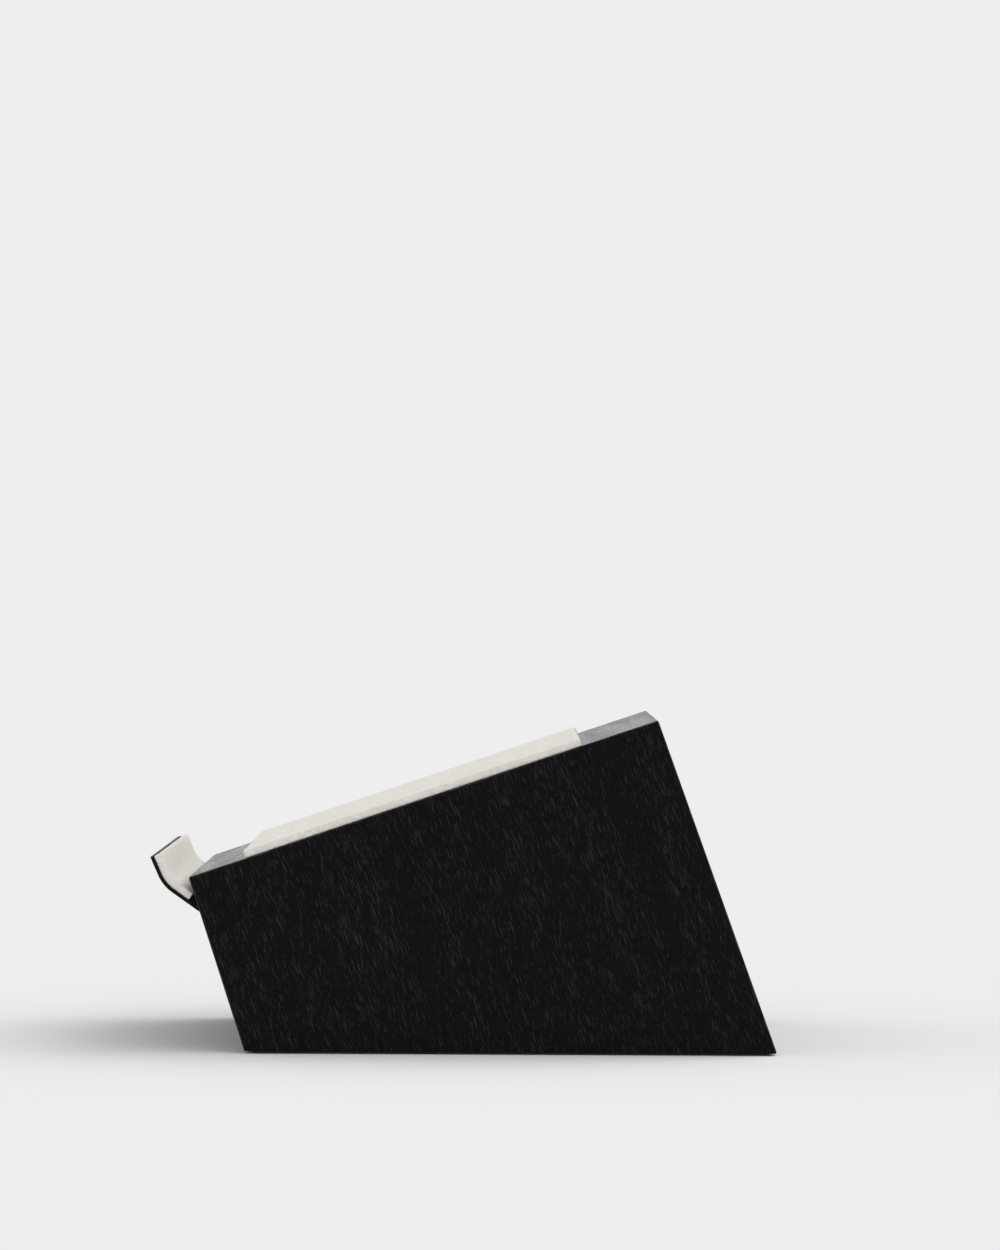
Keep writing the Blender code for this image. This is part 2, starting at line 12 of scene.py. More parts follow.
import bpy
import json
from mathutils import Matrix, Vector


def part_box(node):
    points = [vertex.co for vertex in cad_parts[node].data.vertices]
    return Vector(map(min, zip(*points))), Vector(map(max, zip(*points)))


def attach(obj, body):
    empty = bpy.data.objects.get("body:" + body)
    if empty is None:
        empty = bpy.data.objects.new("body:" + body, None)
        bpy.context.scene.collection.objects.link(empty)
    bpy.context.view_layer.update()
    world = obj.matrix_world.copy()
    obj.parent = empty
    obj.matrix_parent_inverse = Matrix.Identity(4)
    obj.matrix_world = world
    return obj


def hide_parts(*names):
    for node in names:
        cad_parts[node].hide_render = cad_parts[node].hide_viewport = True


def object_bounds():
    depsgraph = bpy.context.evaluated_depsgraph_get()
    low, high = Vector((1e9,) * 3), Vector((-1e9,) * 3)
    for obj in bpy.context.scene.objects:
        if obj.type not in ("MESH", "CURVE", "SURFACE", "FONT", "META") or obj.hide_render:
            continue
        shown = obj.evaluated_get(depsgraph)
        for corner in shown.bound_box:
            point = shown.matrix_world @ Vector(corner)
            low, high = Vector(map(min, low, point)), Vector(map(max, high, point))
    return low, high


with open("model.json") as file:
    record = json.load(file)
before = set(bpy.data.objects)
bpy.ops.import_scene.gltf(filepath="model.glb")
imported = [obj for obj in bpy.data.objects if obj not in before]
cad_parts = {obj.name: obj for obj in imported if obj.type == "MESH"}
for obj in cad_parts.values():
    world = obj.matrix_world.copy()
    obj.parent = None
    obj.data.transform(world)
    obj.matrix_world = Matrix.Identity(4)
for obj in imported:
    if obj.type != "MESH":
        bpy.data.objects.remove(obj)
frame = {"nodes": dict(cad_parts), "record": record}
cad_low, cad_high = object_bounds()
print("measured box, in metres:", [round(value, 4) for value in cad_high - cad_low])

# %% The other tools of the lesson
import json
import math
import random

import bmesh
import bpy
from mathutils import Matrix, Vector, noise

MM = 0.001
nodes = frame["nodes"]
print(len(nodes), "measured pieces")

# %% [markdown]
# ## Reading the box
#
# Every wall of the box is a flat panel, so it has two large faces: one outside, one inside. They
# could be typed in again as numbers, but then they could disagree with the frame. Here they are
# read off the measured pieces: the triangles of a piece are sorted by the way they face, and the
# two directions with the most area are the panel's two faces.

# %% Planes of the side view
WALLS = {
    "top": "top_panel",
    "front": "front_panel",
    "back": "back_panel",
    "left": "side_panel_left",
    "right": "side_panel_right",
}
OPPOSITE = {"front": "back", "back": "front", "left": "right", "right": "left"}
RIGHTWARDS = Vector((1.0, 0.0, 0.0))
DOWNWARDS = Vector((0.0, 0.0, -1.0))
middle = (cad_low + cad_high) / 2


def faces_by_direction(node):
    """The flat faces of a measured piece, largest first, as (area, a point on it, its normal)."""
    mesh = nodes[node].data
    sorted_faces = {}
    for polygon in mesh.polygons:
        key = tuple(round(value, 2) for value in polygon.normal)
        area = sorted_faces.get(key, (0.0, None, None))[0] + polygon.area
        sorted_faces[key] = (area, polygon.center.copy(), polygon.normal.copy())
    return sorted(sorted_faces.values(), key=lambda face: -face[0])


def outer_plane(node):
    """The outer one of a panel's two large faces, and the panel's thickness."""
    pair = faces_by_direction(node)[:2]
    pair.sort(key=lambda face: -(face[1] - middle).dot(face[2]))
    (_, point, normal), (_, inner_point, _) = pair
    return (point, normal), (point - inner_point).dot(normal)


outer = {}
for wall, node in WALLS.items():
    outer[wall], thickness = outer_plane(node)
    print(f"{wall:6s} faces {[round(v, 3) for v in outer[wall][1]]}, {thickness / MM:.1f} mm thick")
box_bottom_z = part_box("side_panel_right")[0].z
outer["bottom"] = (Vector((0.0, 0.0, box_bottom_z)), DOWNWARDS)


# %% Where two planes meet
def meeting_point(plane_a, plane_b):
    """The point nearest the origin on the line shared by two planes."""
    across = plane_a[1].dot(plane_b[1])
    rise_a = plane_a[1].dot(plane_a[0])
    rise_b = plane_b[1].dot(plane_b[0])
    share = 1 - across * across
    weight_a = (rise_a - across * rise_b) / share
    weight_b = (rise_b - across * rise_a) / share
    return plane_a[1] * weight_a + plane_b[1] * weight_b


def quarter_turn(direction):
    """A direction of the side view, turned back by a right angle."""
    return Vector((0.0, direction.z, -direction.y))


front_out = outer["front"][1]
front_up = quarter_turn(front_out)
top_out = outer["top"][1]
top_back = quarter_turn(top_out)
front_corner = meeting_point(outer["top"], outer["front"])
back_corner = meeting_point(outer["top"], outer["back"])
print("top of the box:", round((back_corner - front_corner).length / MM, 1), "mm long")

# %% [markdown]
# ## Camera
#
# A side view of a product is taken with a long lens from far away, so that the wedge keeps its true
# outline. The camera stands three metres off, a little higher than the stand, and looks at its
# right side. A normal lens close by would show the same side, but it would open up the top and the
# lip and bend the proportions. Depth of field stays off, so everything is sharp.

# %% Place the camera
CAMERA_PLACE = Vector((3.077, 0.0192, 0.213))
CAMERA_LENS = 183.44
CAMERA_PITCH = math.radians(-0.2673)
CAMERA_YAW = math.radians(0.0556)
CAMERA_ROLL = math.radians(0.2683)
SENSOR_WIDTH = 36.0
CAMERA_REACH = 60.0

camera_data = bpy.data.cameras.new("long_lens")
camera_data.lens = CAMERA_LENS
camera_data.sensor_width = SENSOR_WIDTH
camera_data.clip_end = CAMERA_REACH
camera = bpy.data.objects.new("camera", camera_data)
bpy.context.scene.collection.objects.link(camera)
bpy.context.scene.camera = camera
look = Vector((-1.0, -math.tan(CAMERA_YAW), math.tan(CAMERA_PITCH)))
aim = look.to_track_quat("-Z", "Y").to_matrix().to_4x4()
camera.matrix_world = Matrix.Translation(CAMERA_PLACE) @ aim @ Matrix.Rotation(CAMERA_ROLL, 4, "Z")
print("camera at", [round(value, 3) for value in camera.matrix_world.translation])


# %% [markdown]
# ## Small helpers for materials
#
# A material is a little network of nodes. Clicking it together by hand is fine for one, but this
# stand has seven finishes, so a few short helpers do the wiring. The first adds a node and fills in
# or links its inputs, and the rest use it for arithmetic, noise and colours. Effects that several
# finishes share are built once as groups, with named sockets, and placed wherever they are needed.

# %% Node helpers
def add(tree, kind, inputs=None, **settings):
    """Add a node. inputs maps a socket's name or number to a value or to another node's output."""
    node = tree.nodes.new(kind)
    for key, value in settings.items():
        setattr(node, key, value)
    for key, value in (inputs or {}).items():
        if isinstance(value, bpy.types.NodeSocket):
            tree.links.new(value, node.inputs[key])
        else:
            node.inputs[key].default_value = value
    return node


def sums(tree, operation, first, second=0.0, third=0.0):
    """The result of one arithmetic step."""
    inputs = {0: first, 1: second, 2: third}
    return add(tree, "ShaderNodeMath", inputs, operation=operation).outputs[0]


def remap(tree, value, low, high, to_low=0.0, to_high=1.0):
    """Stretch the range low..high of a value to to_low..to_high, softly at both ends."""
    inputs = {"Value": value, 1: low, 2: high, 3: to_low, 4: to_high}
    return add(tree, "ShaderNodeMapRange", inputs, interpolation_type="SMOOTHSTEP").outputs[0]


def blend_colours(tree, share, first, second):
    """A colour between two others."""
    return add(tree, "ShaderNodeMix", {0: share, 6: first, 7: second}, data_type="RGBA").outputs[2]


def soft_noise(tree, vector, scale, detail, roughness=0.5):
    """Cloudy noise between 0 and 1, around a half."""
    inputs = {"Vector": vector, "Scale": scale, "Detail": detail, "Roughness": roughness}
    return add(tree, "ShaderNodeTexNoise", inputs).outputs[0]


def scaled(tree, vector, factors):
    """A vector with each of its parts multiplied."""
    inputs = {0: vector, 1: factors}
    return add(tree, "ShaderNodeVectorMath", inputs, operation="MULTIPLY").outputs[0]


def open_group(name, inputs, outputs):
    """A new group: its tree, the node that its inputs come from and the one its outputs go to."""
    tree = bpy.data.node_groups.new(name, "ShaderNodeTree")
    for label, kind, value in inputs:
        socket = tree.interface.new_socket(label, in_out="INPUT", socket_type=kind)
        if value is not None:
            socket.default_value = value
    for label, kind in outputs:
        tree.interface.new_socket(label, in_out="OUTPUT", socket_type=kind)
    return tree, tree.nodes.new("NodeGroupInput").outputs, tree.nodes.new("NodeGroupOutput")


def open_material(name, roughness, specular=0.5, metallic=0.0):
    """A new material: itself, its tree and its Principled shader."""
    material = bpy.data.materials.new(name)
    material.use_nodes = True
    tree = material.node_tree
    shader = tree.nodes["Principled BSDF"]
    shader.inputs["Roughness"].default_value = roughness
    shader.inputs["Specular IOR Level"].default_value = specular
    shader.inputs["Metallic"].default_value = metallic
    return material, tree, shader


FLOAT, VECTOR = "NodeSocketFloat", "NodeSocketVector"
print("helpers ready")

# %% [markdown]
# ## Wood figure
#
# Oak is easy to recognise by its open pores: short dark or light dashes that all run with the
# grain and crowd together in the soft spring wood of every year ring. The group below cuts the
# board into narrow strips and lets one line of noise switch each strip on and off along its
# length. Every strip starts at its own place in the noise, or else the dashes would line up in
# rows. A picture of a board would be quicker, but it would repeat, and it couldn't follow five
# differently turned panels. The place that comes in has its Y along the grain and its Z through
# the board.

# %% Group: wood_figure
SWAY_SCALE = (7.0, 2.0, 7.0)
SWAY_REACH = 0.014
RING_STRETCH = 4.0
FIBRE_SCALE = (2600.0, 110.0, 2600.0)
PORE_DEPTH = 1.0 * MM
PORE_EDGE = 0.12
STAGGER = 100.0
CROWDING = 0.5
SHORT_PORE_SHARE = 0.7

figure, given, result = open_group(
    "wood_figure",
    [
        ("Vector", VECTOR, None),
        ("Ring Width", FLOAT, 0.008),
        ("Pore Width", FLOAT, 0.0004),
        ("Pore Length", FLOAT, 0.006),
        ("Pore Share", FLOAT, 0.08),
    ],
    [("Pores", FLOAT), ("Rings", FLOAT), ("Fibres", FLOAT)],
)
x, y, z = add(figure, "ShaderNodeSeparateXYZ", {0: given["Vector"]}).outputs
sway = soft_noise(figure, scaled(figure, given["Vector"], SWAY_SCALE), 1.0, 1.0)
drift = sums(figure, "MULTIPLY_ADD", sway, SWAY_REACH, x)
grain_line = add(figure, "ShaderNodeCombineXYZ", {0: drift, 1: y, 2: z})
ring_across = sums(figure, "DIVIDE", drift, given["Ring Width"])
ring_along = sums(figure, "MULTIPLY", y, RING_STRETCH)
ring_place = add(figure, "ShaderNodeCombineXYZ", {0: ring_across, 1: ring_along, 2: 0.0})
rings = soft_noise(figure, ring_place.outputs[0], 1.0, 2.0)


def pore_layer(width_share, length_share, cut, seed):
    """Dashes along the grain: every narrow strip has its own, and more of them in spring wood."""
    width = sums(figure, "MULTIPLY", given["Pore Width"], width_share)
    length = sums(figure, "MULTIPLY", given["Pore Length"], length_share)
    across = sums(figure, "DIVIDE", drift, width)
    along = sums(figure, "DIVIDE", y, length)
    strip = sums(figure, "FLOOR", across)
    depth = sums(figure, "ROUND", sums(figure, "DIVIDE", z, PORE_DEPTH))
    which = add(figure, "ShaderNodeCombineXYZ", {0: strip, 1: depth, 2: seed})
    inputs = {"Vector": which.outputs[0]}
    chance = add(figure, "ShaderNodeTexWhiteNoise", inputs, noise_dimensions="3D")
    staggered = sums(figure, "MULTIPLY_ADD", chance.outputs["Value"], STAGGER, along)
    line = {"W": staggered, "Scale": 1.0, "Detail": 0.0}
    dashes = add(figure, "ShaderNodeTexNoise", line, noise_dimensions="1D")
    crowding = sums(figure, "MULTIPLY_ADD", rings, CROWDING, -CROWDING / 2)
    crowded = sums(figure, "ADD", dashes.outputs[0], crowding)
    lifted = sums(figure, "ADD", crowded, given["Pore Share"])
    within = sums(figure, "SUBTRACT", across, strip)
    from_middle = sums(figure, "ABSOLUTE", sums(figure, "SUBTRACT", within, 0.5))
    body = remap(figure, from_middle, 0.2, 0.5, 1.0, 0.0)
    return sums(figure, "MULTIPLY", body, remap(figure, lifted, cut, cut + PORE_EDGE))


long_pores = pore_layer(1.0, 1.0, 0.80, 3.0)
short_pores = pore_layer(0.8, 0.45, 0.78, 8.0)
fine = soft_noise(figure, scaled(figure, grain_line.outputs[0], FIBRE_SCALE), 1.0, 2.0)
faint_pores = sums(figure, "MULTIPLY", short_pores, SHORT_PORE_SHARE)
all_pores = sums(figure, "MAXIMUM", long_pores, faint_pores)
figure.links.new(all_pores, result.inputs["Pores"])
figure.links.new(rings, result.inputs["Rings"])
figure.links.new(fine, result.inputs["Fibres"])
print("wood_figure:", len(figure.nodes), "nodes")

# %% [markdown]
# ## Handling, and edge wear with a painted highlight
#
# Nothing that is used stays perfectly even. Fingers polish some places and dull others, and every
# eased edge loses a little stain where it is rubbed. The first group gives a broad, cloudy
# unevenness. The second reads a value painted on the piece, 1 in the middle of an eased edge and 0
# on the flats, and breaks it up with noise so that the wear comes and goes along the edge. The pale
# colour that it lays on the edges is partly this rubbed stain and partly a painted highlight: the
# thin light line that a rounded edge catches.

# %% Groups: handling, and edge wear with its painted highlight
SPECK_SCALE = 2600.0
PATCH_SCALE = 90.0

handling, given, result = open_group(
    "handling",
    [("Vector", VECTOR, None), ("Size", FLOAT, 0.05)],
    [("Clouds", FLOAT), ("Specks", FLOAT)],
)
per_size = sums(handling, "DIVIDE", 1.0, given["Size"])
cloud = soft_noise(handling, given["Vector"], per_size, 3.0)
speck = soft_noise(handling, given["Vector"], SPECK_SCALE, 1.0)
handling.links.new(remap(handling, cloud, 0.32, 0.68), result.inputs["Clouds"])
handling.links.new(remap(handling, speck, 0.66, 0.76), result.inputs["Specks"])

# edge wear with a painted highlight: one mask lightens the rounded edges, for rubbed stain and for
# the light they catch
wear_and_highlight, given, result = open_group(
    "edge_wear_and_highlight", [("Vector", VECTOR, None), ("Amount", FLOAT, 0.5)], [("Wear And Highlight", FLOAT)]
)
painted = add(wear_and_highlight, "ShaderNodeAttribute", attribute_name="arris", attribute_type="GEOMETRY")
patches = soft_noise(wear_and_highlight, given["Vector"], PATCH_SCALE, 5.0, 0.7)
patchy = remap(wear_and_highlight, patches, 0.42, 0.66, 0.08, 1.0)
rubbed_and_highlit = sums(wear_and_highlight, "MULTIPLY", patchy, painted.outputs["Fac"])
wear_and_highlight.links.new(sums(wear_and_highlight, "MULTIPLY", rubbed_and_highlit, given["Amount"]), result.inputs["Wear And Highlight"])
print("handling and edge_wear_and_highlight ready")

# %% [markdown]
# ## Black oak
#
# The oak is stained until it is nearly black and then only oiled, so the pores stay open. They
# catch a little light on their rims and read as fine grey dashes. The stain is the base colour,
# the dashes are a slightly lighter one, and the same mask drives a shallow bump and makes the
# pores rougher. The film of oil is a thin coat that hardly shows from straight ahead but mirrors
# the room at a low angle, and it is broken where the pores are. Black gloss paint would be
# simpler, but it would hide the very thing that says oak.

# %% Colours of the black oak
STAIN_DARK = (0.0028, 0.0028, 0.0028, 1.0)
STAIN_LIGHT = (0.0052, 0.0050, 0.0049, 1.0)
STAIN_BROWN = (0.0052, 0.0046, 0.0044, 1.0)
FIBRE_GREY = (0.0105, 0.0105, 0.0105, 1.0)
PORE_GREY = (0.040, 0.040, 0.041, 1.0)
# pale brown of the eased edges: partly stain rubbed through, partly a painted highlight of the
# light the rounded edges catch
EDGE_WEAR_HIGHLIGHT_BROWN = (0.15, 0.13, 0.115, 1.0)

black_oak, tree, shader = open_material("black_oak_finish", 0.5, specular=0.0)
board = add(tree, "ShaderNodeAttribute", attribute_name="board", attribute_type="GEOMETRY")
place = board.outputs["Vector"]
grown = {"Ring Width": 0.011, "Pore Width": 0.00025, "Pore Length": 0.011, "Pore Share": 0.042}
wood = add(tree, "ShaderNodeGroup", {"Vector": place, **grown}, node_tree=figure).outputs
touched = add(tree, "ShaderNodeGroup", {"Vector": place, "Size": 0.07}, node_tree=handling).outputs
worn_and_highlit = add(tree, "ShaderNodeGroup", {"Vector": place, "Amount": 0.8}, node_tree=wear_and_highlight).outputs
stain = blend_colours(tree, wood["Rings"], STAIN_DARK, STAIN_LIGHT)
clouded = blend_colours(tree, sums(tree, "MULTIPLY", touched["Clouds"], 0.35), stain, STAIN_BROWN)
fibred = blend_colours(tree, remap(tree, wood["Fibres"], 0.52, 0.74), clouded, FIBRE_GREY)
dashed = blend_colours(tree, sums(tree, "MULTIPLY", wood["Pores"], 0.9), fibred, PORE_GREY)
# the eased edges turn pale brown: partly rubbed stain, partly a painted highlight
rubbed_and_highlit = blend_colours(tree, worn_and_highlit["Wear And Highlight"], dashed, EDGE_WEAR_HIGHLIGHT_BROWN)
tree.links.new(rubbed_and_highlit, shader.inputs["Base Color"])
print("black oak's colours:", len(tree.nodes), "nodes so far")

# %% Surface of the black oak
rough = sums(tree, "MULTIPLY_ADD", touched["Clouds"], 0.10, 0.46)
rough = sums(tree, "MULTIPLY_ADD", wood["Pores"], 0.25, rough)
sunken = sums(tree, "MULTIPLY", wood["Pores"], -1.0)
relief = sums(tree, "MULTIPLY_ADD", wood["Fibres"], 0.35, sunken)
bump = add(tree, "ShaderNodeBump", {"Height": relief, "Strength": 0.45, "Distance": 0.00012})
ridges = remap(tree, wood["Fibres"], 0.35, 0.65)
seasons = remap(tree, wood["Rings"], 0.35, 0.65)
film = 1.0
for mask, loss in (
    (wood["Pores"], 0.70),
    (ridges, 0.30),
    (seasons, 0.12),
    (touched["Clouds"], 0.06),
):
    film = sums(tree, "MULTIPLY_ADD", mask, -loss, film)
shader.inputs["Coat IOR"].default_value = 1.13
shader.inputs["Coat Roughness"].default_value = 0.15
tree.links.new(rough, shader.inputs["Roughness"])
tree.links.new(bump.outputs[0], shader.inputs["Normal"])
tree.links.new(bump.outputs[0], shader.inputs["Coat Normal"])
tree.links.new(film, shader.inputs["Coat Weight"])
print("black oak:", len(tree.nodes), "nodes")


# %% [markdown]
# ## Plain woods of the inside
#
# What the eye never sees is left bare: beech for the glue blocks, cleats and the lip's rail, birch
# plywood for the bottom. They use the same figure with other numbers, since beech has small,
# evenly spread flecks and birch hardly any. Nobody looks in there often, but the box can be opened.

# %% Materials: bare beech and birch plywood
def bare_wood(name, colours, ring_width, share):
    """An unfinished wood: two colours between the rings, and short flecks of a third."""
    light, dark, fleck = colours
    material, tree, shader = open_material(name, 0.68, specular=0.35)
    place = add(tree, "ShaderNodeTexCoord").outputs["Object"]
    grown = {"Ring Width": ring_width, "Pore Share": share}
    grown.update({"Pore Width": 0.0003, "Pore Length": 0.0025})
    wood = add(tree, "ShaderNodeGroup", {"Vector": place, **grown}, node_tree=figure).outputs
    base = blend_colours(tree, wood["Rings"], light, dark)
    flecked = blend_colours(tree, sums(tree, "MULTIPLY", wood["Pores"], 0.5), base, fleck)
    inputs = {"Height": wood["Fibres"], "Strength": 0.25, "Distance": 0.0001}
    bump = add(tree, "ShaderNodeBump", inputs)
    rough = sums(tree, "MULTIPLY_ADD", wood["Fibres"], 0.15, 0.6)
    tree.links.new(flecked, shader.inputs["Base Color"])
    tree.links.new(rough, shader.inputs["Roughness"])
    tree.links.new(bump.outputs[0], shader.inputs["Normal"])
    return material


BEECH = ((0.62, 0.43, 0.28, 1.0), (0.50, 0.31, 0.18, 1.0), (0.30, 0.16, 0.09, 1.0))
BIRCH = ((0.62, 0.47, 0.30, 1.0), (0.50, 0.35, 0.20, 1.0), (0.33, 0.21, 0.11, 1.0))
beech = bare_wood("beech_finish", BEECH, 0.006, 0.07)
birch_ply = bare_wood("plywood_finish", BIRCH, 0.02, 0.0)
print("bare woods ready")

# %% [markdown]
# ## Powder-coated steel
#
# The lip is sprayed with black powder and baked. Such a coat is never smooth: it sets in a fine
# pebbled skin that breaks up reflections. Noise at about half a millimetre gives the pebbles as a
# bump, and the broad clouds change the roughness where hands have been.

# %% Material: black steel
POWDER_DARK = (0.0024, 0.0024, 0.0026, 1.0)
POWDER_LIGHT = (0.0042, 0.0042, 0.0045, 1.0)

black_steel, tree, shader = open_material("black_steel_finish", 0.45, specular=0.08)
place = add(tree, "ShaderNodeTexCoord").outputs["Object"]
touched = add(tree, "ShaderNodeGroup", {"Vector": place, "Size": 0.04}, node_tree=handling).outputs
pebbles = soft_noise(tree, place, 2100.0, 2.0, 0.45)
coat = blend_colours(tree, touched["Clouds"], POWDER_DARK, POWDER_LIGHT)
bump = add(tree, "ShaderNodeBump", {"Height": pebbles, "Strength": 0.35, "Distance": 0.0001})
rough = sums(tree, "MULTIPLY_ADD", touched["Clouds"], 0.12, 0.40)
tree.links.new(coat, shader.inputs["Base Color"])
tree.links.new(rough, shader.inputs["Roughness"])
tree.links.new(bump.outputs[0], shader.inputs["Normal"])
print("black steel:", len(tree.nodes), "nodes")

# %% [markdown]
# ## Wool felt
#
# Pressed felt has no weave. Its surface is a tangle of fine hairs lying every way, with a cloudy
# density and now and then a darker hair. Two layers of noise, each bent by another noise, draw the
# hairs as thin crooked ridges. The shader's sheen stands for the loose ends that glow at the rim.

# %% Group: felt_fibres
HAIR_CROOK = (0.004, 0.004, 0.004)
HAIR_STRETCH = (1.0, 0.28, 1.0)
HAIR_TURNS = (0.0, 1.9)

fibres, given, result = open_group(
    "felt_fibres",
    [("Vector", VECTOR, None), ("Hair Size", FLOAT, 0.0011)],
    [("Hairs", FLOAT), ("Density", FLOAT)],
)
per_hair = sums(fibres, "DIVIDE", 1.0, given["Hair Size"])
bend = add(fibres, "ShaderNodeTexNoise", {"Vector": given["Vector"], "Scale": 420.0, "Detail": 2.0})
inputs = {0: bend.outputs["Color"], 1: HAIR_CROOK, 2: given["Vector"]}
bent = add(fibres, "ShaderNodeVectorMath", inputs, operation="MULTIPLY_ADD").outputs[0]
ridges = []
for turn in HAIR_TURNS:
    inputs = {"Vector": bent, "Angle": turn, "Axis": (0.3, -0.32, 0.9)}
    swung = add(fibres, "ShaderNodeVectorRotate", inputs)
    pulled = scaled(fibres, swung.outputs[0], HAIR_STRETCH)
    tangle = soft_noise(fibres, pulled, per_hair, 3.0, 0.6)
    away = sums(fibres, "ABSOLUTE", sums(fibres, "SUBTRACT", tangle, 0.5))
    ridges.append(remap(fibres, away, 0.0, 0.09, 1.0, 0.0))
fibres.links.new(sums(fibres, "MAXIMUM", *ridges), result.inputs["Hairs"])
density = soft_noise(fibres, given["Vector"], 260.0, 4.0)
fibres.links.new(density, result.inputs["Density"])
print("felt_fibres:", len(fibres.nodes), "nodes")

# %% Material: cream felt
WOOL_DENSE = (0.715, 0.685, 0.635, 1.0)
WOOL_LOOSE = (0.78, 0.755, 0.705, 1.0)
WOOL_HAIR = (0.85, 0.83, 0.785, 1.0)
DARK_HAIR = (0.36, 0.30, 0.24, 1.0)

cream_felt, tree, shader = open_material("cream_felt_finish", 0.95, specular=0.12)
shader.inputs["Sheen Weight"].default_value = 0.25
shader.inputs["Sheen Roughness"].default_value = 0.5
shader.inputs["Sheen Tint"].default_value = (1.0, 0.97, 0.92, 1.0)
place = add(tree, "ShaderNodeTexCoord").outputs["Object"]
wool = add(tree, "ShaderNodeGroup", {"Vector": place}, node_tree=fibres).outputs
touched = add(tree, "ShaderNodeGroup", {"Vector": place, "Size": 0.03}, node_tree=handling).outputs
pile = blend_colours(tree, remap(tree, wool["Density"], 0.3, 0.7), WOOL_DENSE, WOOL_LOOSE)
haired = blend_colours(tree, sums(tree, "MULTIPLY", wool["Hairs"], 0.45), pile, WOOL_HAIR)
flecked = blend_colours(tree, sums(tree, "MULTIPLY", touched["Specks"], 0.35), haired, DARK_HAIR)
relief = sums(tree, "MULTIPLY_ADD", wool["Density"], 1.5, wool["Hairs"])
bump = add(tree, "ShaderNodeBump", {"Height": relief, "Strength": 0.7, "Distance": 0.0003})
tree.links.new(flecked, shader.inputs["Base Color"])
tree.links.new(bump.outputs[0], shader.inputs["Normal"])
print("cream felt:", len(tree.nodes), "nodes")

# %% [markdown]
# ## Base sheet and screws
#
# The sheet under the box is thin, reddish brown and dull, with the small grain of pressed fibre.
# Only its edge shows, always in the shadow of the box, so it looks darker than it is. The screws
# are bright zinc: metal, a little cloudy, neither polished nor dull.

# %% Materials: brown base sheet and zinc
SHEET_LIGHT = (0.190, 0.110, 0.098, 1.0)
SHEET_DARK = (0.115, 0.068, 0.061, 1.0)
SHEET_SPECK = (0.28, 0.20, 0.18, 1.0)
ZINC_GREY = (0.55, 0.56, 0.57, 1.0)
ZINC_WARM = (0.68, 0.68, 0.66, 1.0)

brown_base, tree, shader = open_material("brown_base_finish", 0.85, specular=0.25)
place = add(tree, "ShaderNodeTexCoord").outputs["Object"]
touched = add(tree, "ShaderNodeGroup", {"Vector": place, "Size": 0.02}, node_tree=handling).outputs
granules = add(tree, "ShaderNodeTexVoronoi", {"Vector": place, "Scale": 1500.0})
grain = granules.outputs["Distance"]
grainy = blend_colours(tree, grain, SHEET_LIGHT, SHEET_DARK)
speckled = blend_colours(tree, sums(tree, "MULTIPLY", touched["Specks"], 0.5), grainy, SHEET_SPECK)
bump = add(tree, "ShaderNodeBump", {"Height": grain, "Strength": 0.4, "Distance": 0.0001})
tree.links.new(speckled, shader.inputs["Base Color"])
tree.links.new(bump.outputs[0], shader.inputs["Normal"])

zinc, tree, shader = open_material("zinc_finish", 0.3, metallic=1.0)
place = add(tree, "ShaderNodeTexCoord").outputs["Object"]
touched = add(tree, "ShaderNodeGroup", {"Vector": place, "Size": 0.004}, node_tree=handling).outputs
bright = blend_colours(tree, touched["Clouds"], ZINC_GREY, ZINC_WARM)
rough = sums(tree, "MULTIPLY_ADD", touched["Clouds"], 0.18, 0.22)
tree.links.new(bright, shader.inputs["Base Color"])
tree.links.new(rough, shader.inputs["Roughness"])
print("base sheet and zinc ready")


# %% [markdown]
# ## The oak panels
#
# Each panel is a convex solid, so it can be cut from a large block by planes, the way a saw would:
# one cut for each face, one for each mitre and a few shallow ones that ease the outer edges. The
# measured panels leave a small gap at each mitre so that they don't touch. On the real box the
# mitres are glued tight, so these panels close the gap to a hairline. The eased edges are then
# divided along their length and pushed in and out by a few hundredths of a millimetre, because a
# hand with sandpaper is never a machine.

# %% Cut a solid from planes
HAIRLINE = 0.05 * MM
ARRIS = 0.8 * MM
ARRIS_STEPS = 7
PANEL = thickness
BLOCK_SIZE = 2.0


def mitre(wall, neighbour):
    """The mitre of a wall against its neighbour, half a hairline back from the true one."""
    spread = (outer[wall][1] - outer[neighbour][1]).normalized()
    edge = meeting_point(outer[wall], outer[neighbour])
    return edge + spread * (HAIRLINE / 2), -spread


def eased_edge(wall, neighbour):
    """The shallow cuts that round the outer edge between two faces."""
    normal_a, normal_b = outer[wall][1], outer[neighbour][1]
    inward = (normal_a + normal_b) / (1 + normal_a.dot(normal_b))
    centre = meeting_point(outer[wall], outer[neighbour]) - inward * ARRIS
    cuts = []
    for step in range(1, ARRIS_STEPS + 1):
        normal = normal_a.slerp(normal_b, step / (ARRIS_STEPS + 1))
        cuts.append((centre + normal * ARRIS, normal))
    return cuts


def cut_solid(planes):
    """A bmesh of the solid inside all the planes."""
    shape = bmesh.new()
    bmesh.ops.create_cube(shape, size=BLOCK_SIZE)
    for point, normal in planes:
        everything = shape.verts[:] + shape.edges[:] + shape.faces[:]
        cut = bmesh.ops.bisect_plane(
            shape, geom=everything, dist=1e-8, plane_co=point, plane_no=normal, clear_outer=True
        )
        rim = [item for item in cut["geom_cut"] if isinstance(item, bmesh.types.BMEdge)]
        if rim:
            bmesh.ops.edgeloop_fill(shape, edges=rim)
    bmesh.ops.recalc_face_normals(shape, faces=shape.faces)
    return shape


